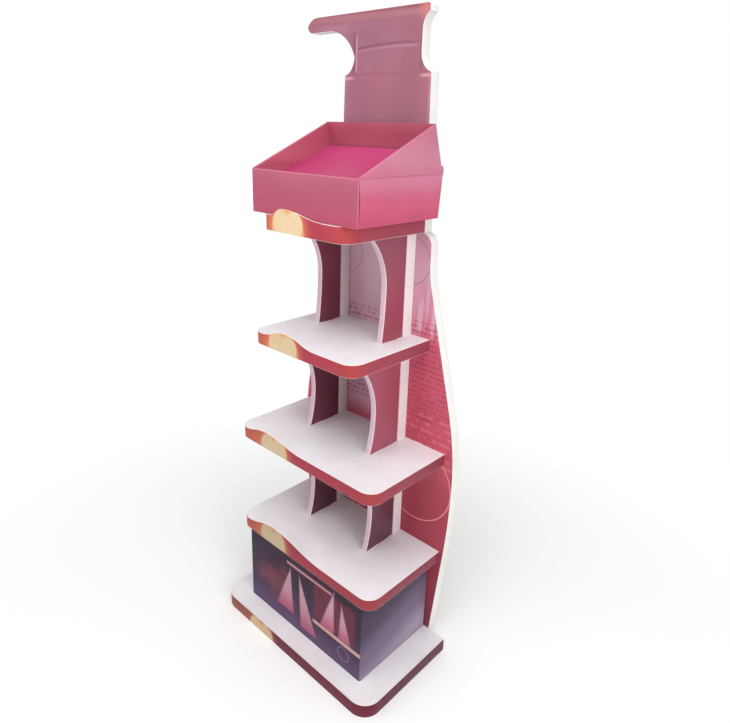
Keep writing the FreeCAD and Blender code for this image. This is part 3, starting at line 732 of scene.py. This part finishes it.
def kick_print(turn_at):
    """The sleeve's print: an aubergine front, lighter at its foot, with a russet glow, pale pink wedges, a
    crimson field and two cream bars, and, past turn_at across, grey violet sides that lighten downwards."""
    paper = Paper("kick_print")
    paper.colour = paper.blend_along(paper.z, KICK_FRONT_TONES)
    clouds = paper.fade(paper.noise(16, 3, seed=4.4), 0.32, 0.62)
    paper.lay(paper.times(paper.patch(*KICK_GLOW, 50 * MM, 50 * MM), clouds, 0.6), (126, 58, 68))
    paper.lay(paper.times(paper.patch(*KICK_FIELD, 5 * MM, 6 * MM), 0.6), (116, 40, 58))
    for foot, lean, level, tall, wide, share in KICK_WEDGES:
        rise = paper.fade(paper.z, level, level + tall * 0.6)
        pale = paper.mix(rise, ink(186, 92, 122), ink(206, 160, 174))
        inside = paper.times(wedge(paper, foot, lean, level, tall, wide), share)
        paper.colour = paper.mix(inside, paper.colour, pale)
    for across, heights, soft, share, tone in KICK_BARS:
        paper.lay(paper.times(paper.patch(across, heights, soft, 1 * MM), share), tone)
    paper.lay(paper.times(paper.ring(paper.x, paper.z, *KICK_RING), 0.6), (176, 150, 172))
    side = paper.blend_along(paper.plus(paper.z, paper.times(paper.y, -0.3)), KICK_SIDE_TONES)
    turn = paper.fade(paper.size_of(paper.x), turn_at - 1 * MM, turn_at + 1 * MM)
    paper.colour = paper.mix(turn, paper.colour, side)
    return paper.press(0.5, flutes=1.2, shine=0.22)


low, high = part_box("kick_box")
flap = high.x - KICK_FLAP
left_corners = [(-flap, high.y), (-high.x, high.y), (-high.x, low.y)]
right_corners = [(-x, y) for x, y in reversed(left_corners)]
line, outward, along = bent_line(left_corners + right_corners, KICK_FOLD, 14 * MM)
front_swell = np.clip(1 - (line[:, 0] / high.x) ** 2, 0, 1) * (line[:, 1] < low.y + KICK_FOLD)
back_share = (line[:, 1] - low.y) / (high.y - low.y)
side_swell = np.clip(4 * back_share * (1 - back_share), 0, 1) * (np.abs(line[:, 0]) > high.x - KICK_FOLD / 2)
kick_section = wall_section(KICK_WALL, KICK_RIM, KICK_ROWS)
kick_points = wall_points(line, outward, low.z, high.z, kick_section, KICK_SWELL * (front_swell + side_swell))
kick_inside = white_liner("kick_inside_liner", (206, 190, 172))
wall(
    "kick_sleeve", kick_points, along - along[-1] / 2, KICK_ROWS,
    [kick_print(high.x - 2.5 * MM), kick_inside], ["kick_box"],
)

brown = Paper("brown_corrugated")
brown.colour = brown.mix(brown.fade(brown.noise(40, 3), 0.35, 0.65), ink(176, 142, 104), ink(190, 156, 118))
brown_card = brown.press(0.7, flutes=1.5)
for node in ("kick_divider_long", "kick_divider_short"):
    eased(node, 0.5 * MM, brown_card)


# Dump bin: one carton, folded from solid card. The front wall is rolled over double, the sides carry wings
# folded up to a leaning back wall, and front and sides bow apart a little at the upright corners.

BIN_WALL = 4 * MM
BIN_ROLL = 8 * MM
BIN_RIM = 1.2 * MM
BIN_PROUD = 2 * MM
BIN_CREASE = 104 * MM
BIN_LEAN = 24 * MM
BIN_GAPE = 3.5 * MM
BIN_HEEL = 8 * MM
BIN_HEEL_LEAN = 9 * MM
BIN_ROWS = 9


def bin_print(name, stops):
    """The carton's print: rose tones by height, on a noisy level."""
    paper = Paper(name)
    wander = paper.times(paper.less(paper.noise(5, 2, seed=6.6), 0.5), 0.05)
    paper.colour = paper.blend_along(paper.plus(paper.z, wander), stops)
    return paper.press(0.38, coat=0.18, flutes=0.4)


bin_low, bin_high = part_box("dump_bin")
crease = bin_low.z + BIN_CREASE
bin_half = bin_high.x - BIN_PROUD
side_front = bin_low.y + BIN_WALL + 0.4 * MM
side_back = BOARD_FACE + BIN_HEEL
bin_front = bin_print("bin_front_print", [
    (1.22, (182, 72, 100)), (1.27, (176, 78, 104)), (1.335, (178, 88, 112))])
bin_side = bin_print("bin_side_print", [
    (1.225, (190, 72, 106)), (1.27, (194, 84, 116)), (1.325, (198, 116, 142))])
bin_wing = bin_print("bin_wing_print", [
    (1.32, (194, 108, 134)), (1.37, (194, 122, 144)), (1.44, (190, 108, 132))])
bin_inner = bin_print("bin_inner_print", [
    (1.24, (170, 72, 98)), (1.35, (190, 96, 118)), (1.44, (178, 80, 104))])
# The rolled rim's lighter pink is partly the card's folded edge and partly a painted highlight along the rim.
bin_rim_edge_and_highlight = bin_print("bin_lip_edge_and_painted_highlight", [(1.24, (196, 108, 128)), (1.44, (208, 124, 142))])


def carton_wall(name, start, end, high_z, thick, soft, swell, materials, reshape=None):
    """A carton wall from start to end, outside to the right, which reshape may move before it is made."""
    line, outward, along = bent_line([start, end], 0, 10 * MM)
    share = along / along[-1]
    section = wall_section(thick, soft, BIN_ROWS)
    points = wall_points(line, outward, bin_low.z, high_z, section, swell * 4 * share * (1 - share))
    if reshape:
        reshape(points)
    wall(name, points, along, BIN_ROWS, materials, ["dump_bin"])


def leaning(points):
    """Above the crease the back wall leans forward, evenly with height."""
    points[..., 1] -= BIN_LEAN * np.clip((points[..., 2] - crease) / (bin_high.z - crease), 0, 1)


def gaping(points):
    """Near the front corner the side wall draws back by BIN_GAPE at mid height, and not at its ends. At the
    back it leans out by BIN_HEEL_LEAN on its way up to the crease."""
    height = np.clip((points[..., 2] - bin_low.z) / BIN_CREASE, 0, 1)
    back_share = (points[..., 1] - bin_low.y) / (side_back - bin_low.y)
    points[..., 1] += BIN_GAPE * np.clip(1 - back_share * 5, 0, 1) * np.sin(math.pi * height)
    points[..., 1] += BIN_HEEL_LEAN * np.clip(back_share, 0, 1) ** 8 * height


carton_wall(
    "bin_front_wall", (-bin_half, bin_low.y), (bin_half, bin_low.y), crease, BIN_WALL, 1.9 * MM, 1.0 * MM,
    [bin_front, bin_rim_edge_and_highlight])
lining_half, lining_place = bin_half - BIN_WALL, bin_low.y + BIN_ROLL / 4
carton_wall(
    "bin_front_lining", (-lining_half, lining_place), (lining_half, lining_place), crease - 0.4 * MM,
    BIN_ROLL * 3 / 4, 2.8 * MM, 0.0, [bin_rim_edge_and_highlight, bin_inner])
carton_wall(
    "bin_back_wall", (bin_half - 1 * MM, BOARD_FACE), (1 * MM - bin_half, BOARD_FACE), bin_high.z,
    BIN_WALL, BIN_RIM, 0.0, [bin_inner, bin_inner], leaning)
for side, start, end in (
    ("right", (bin_half, side_front), (bin_half, side_back)),
    ("left", (-bin_half, side_back), (-bin_half, side_front)),
):
    carton_wall(
        f"bin_{side}_wall", start, end, crease + BIN_RIM, BIN_WALL, BIN_RIM, 1.6 * MM,
        [bin_side, bin_inner], gaping)
for side, way in (("left", (-1, 0, 0)), ("right", (1, 0, 0))):
    sawn_board(
        f"bin_{side}_wing", outline_of("dump_bin", way), way, BIN_WALL + BIN_PROUD, 1.6 * MM,
        [bin_wing, bin_wing, bin_inner], ["dump_bin"],
    )
floor_front, floor_top = bin_low.y + 1 * MM, bin_low.z + BIN_WALL
floor_corners = np.array([
    (-bin_half, floor_front, floor_top), (bin_half, floor_front, floor_top),
    (bin_half, BOARD_FACE, floor_top), (-bin_half, BOARD_FACE, floor_top),
])
sawn_board(
    "bin_floor", floor_corners, (0, 0, 1), BIN_WALL, 1 * MM, [bin_inner, bin_side, bin_side],
    ["dump_bin"])


# False floor: a magenta sheet of thin card, folded to a front leg, a slope and a back leg. It stands loose
# in the bin and lifts what lies there.

ramp_paper = Paper("ramp_print")
ramp_paper.colour = ramp_paper.blend_along(ramp_paper.y, [
    (-0.12, (176, 60, 100)), (0.02, (186, 58, 110)), (0.12, (192, 66, 120))])
ramp_card = ramp_paper.press(0.4, coat=0.15, flutes=0.6)
low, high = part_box("bin_ramp")
sawn_board(
    "bin_false_floor", outline_of("bin_ramp", (1, 0, 0)), (1, 0, 0), high.x - low.x, 0.8 * MM,
    [ramp_card, ramp_card, ramp_card], ["bin_ramp"],
)


# Camera: held in the hand in front of the stand's right side, looking down a little and slightly tilted.

CAMERA_PLACE = (1.0525, -1.0442, 1.4325)
CAMERA_YAW = math.radians(43.4)
CAMERA_PITCH = math.radians(-18.0)
CAMERA_ROLL = math.radians(1.5)
CAMERA_LENS = 30.02
CAMERA_SHIFT = (0.0125, -0.0515)

forward = Vector((
    -math.sin(CAMERA_YAW) * math.cos(CAMERA_PITCH), math.cos(CAMERA_YAW) * math.cos(CAMERA_PITCH),
    math.sin(CAMERA_PITCH)))
level_right = Vector((math.cos(CAMERA_YAW), math.sin(CAMERA_YAW), 0))
level_up = level_right.cross(forward)
right = level_right * math.cos(CAMERA_ROLL) + level_up * math.sin(CAMERA_ROLL)
up = level_up * math.cos(CAMERA_ROLL) - level_right * math.sin(CAMERA_ROLL)
camera = bpy.data.objects.new("camera", bpy.data.cameras.new("camera"))
camera.data.lens = CAMERA_LENS
camera.data.sensor_width = 36
camera.data.shift_x, camera.data.shift_y = CAMERA_SHIFT
camera.matrix_world = Matrix.Translation(CAMERA_PLACE) @ Matrix((right, up, -forward)).transposed().to_4x4()
bpy.context.scene.collection.objects.link(camera)
bpy.context.scene.camera = camera


# Room: a pale floor that keeps the shadow and turns white far off, an even white surround, and three soft
# lamps: one above, one in front on the left and one on the right.

FLOOR_HALF = 30.0
SHADOW_REACH = (0.45, 1.5)
SURROUND_LIGHT = 0.62
LAMPS = (
    # name, place, aim, width, watts
    ("ceiling_lamp", (0.7, -1.2, 3.4), (0, 0, 0.8), 2.2, 52),
    ("front_lamp", (-1.4, -2.8, 1.8), (0, 0, 0.9), 1.8, 14),
    ("right_lamp", (2.9, -0.7, 1.6), (0, 0, 0.9), 1.8, 34),
)

floor_mesh = bpy.data.meshes.new("floor")
floor_corners = [(x * FLOOR_HALF, y * FLOOR_HALF, 0) for x, y in ((-1, -1), (1, -1), (1, 1), (-1, 1))]
floor_mesh.from_pydata(floor_corners, [], [(0, 1, 2, 3)])
floor = bpy.data.objects.new("floor", floor_mesh)
bpy.context.scene.collection.objects.link(floor)
floor_paint = Paper("floor_white")
floor_paint.shader.inputs["Base Color"].default_value = (0.92, 0.92, 0.92, 1)
floor_paint.shader.inputs["Roughness"].default_value = 0.9
floor_paint.shader.inputs["Specular IOR Level"].default_value = 0.1
from_middle = floor_paint.add("ShaderNodeVectorMath", {0: floor_paint.place}, operation="LENGTH")
seen = floor_paint.add("ShaderNodeLightPath").outputs["Is Camera Ray"]
white = floor_paint.add("ShaderNodeEmission", {"Color": (1, 1, 1, 1)}).outputs[0]
far_share = floor_paint.times(floor_paint.fade(from_middle.outputs["Value"], *SHADOW_REACH), seen)
shaders = {0: far_share, 1: floor_paint.shader.outputs[0], 2: white}
blend = floor_paint.add("ShaderNodeMixShader", shaders)
floor_paint.tree.links.new(blend.outputs[0], floor_paint.tree.nodes["Material Output"].inputs["Surface"])
floor_mesh.materials.append(floor_paint.material)

world = bpy.data.worlds.new("surround")
world.use_nodes = True
surround = world.node_tree
light_path = surround.nodes.new("ShaderNodeLightPath")
brightness = surround.nodes.new("ShaderNodeMapRange")
brightness.inputs["To Min"].default_value = SURROUND_LIGHT
brightness.inputs["To Max"].default_value = 1.0
surround.links.new(light_path.outputs["Is Camera Ray"], brightness.inputs["Value"])
surround.nodes["Background"].inputs["Color"].default_value = (1, 1, 1, 1)
surround.links.new(brightness.outputs[0], surround.nodes["Background"].inputs["Strength"])
bpy.context.scene.world = world

for name, place, aim, width, watts in LAMPS:
    lamp = bpy.data.objects.new(name, bpy.data.lights.new(name, "AREA"))
    lamp.data.shape = "DISK"
    lamp.data.size = width
    lamp.data.energy = watts
    toward = Vector(aim) - Vector(place)
    lamp.matrix_world = Matrix.Translation(place) @ toward.to_track_quat("-Z", "Y").to_matrix().to_4x4()
    bpy.context.scene.collection.objects.link(lamp)

bpy.context.scene.view_settings.view_transform = "Standard"
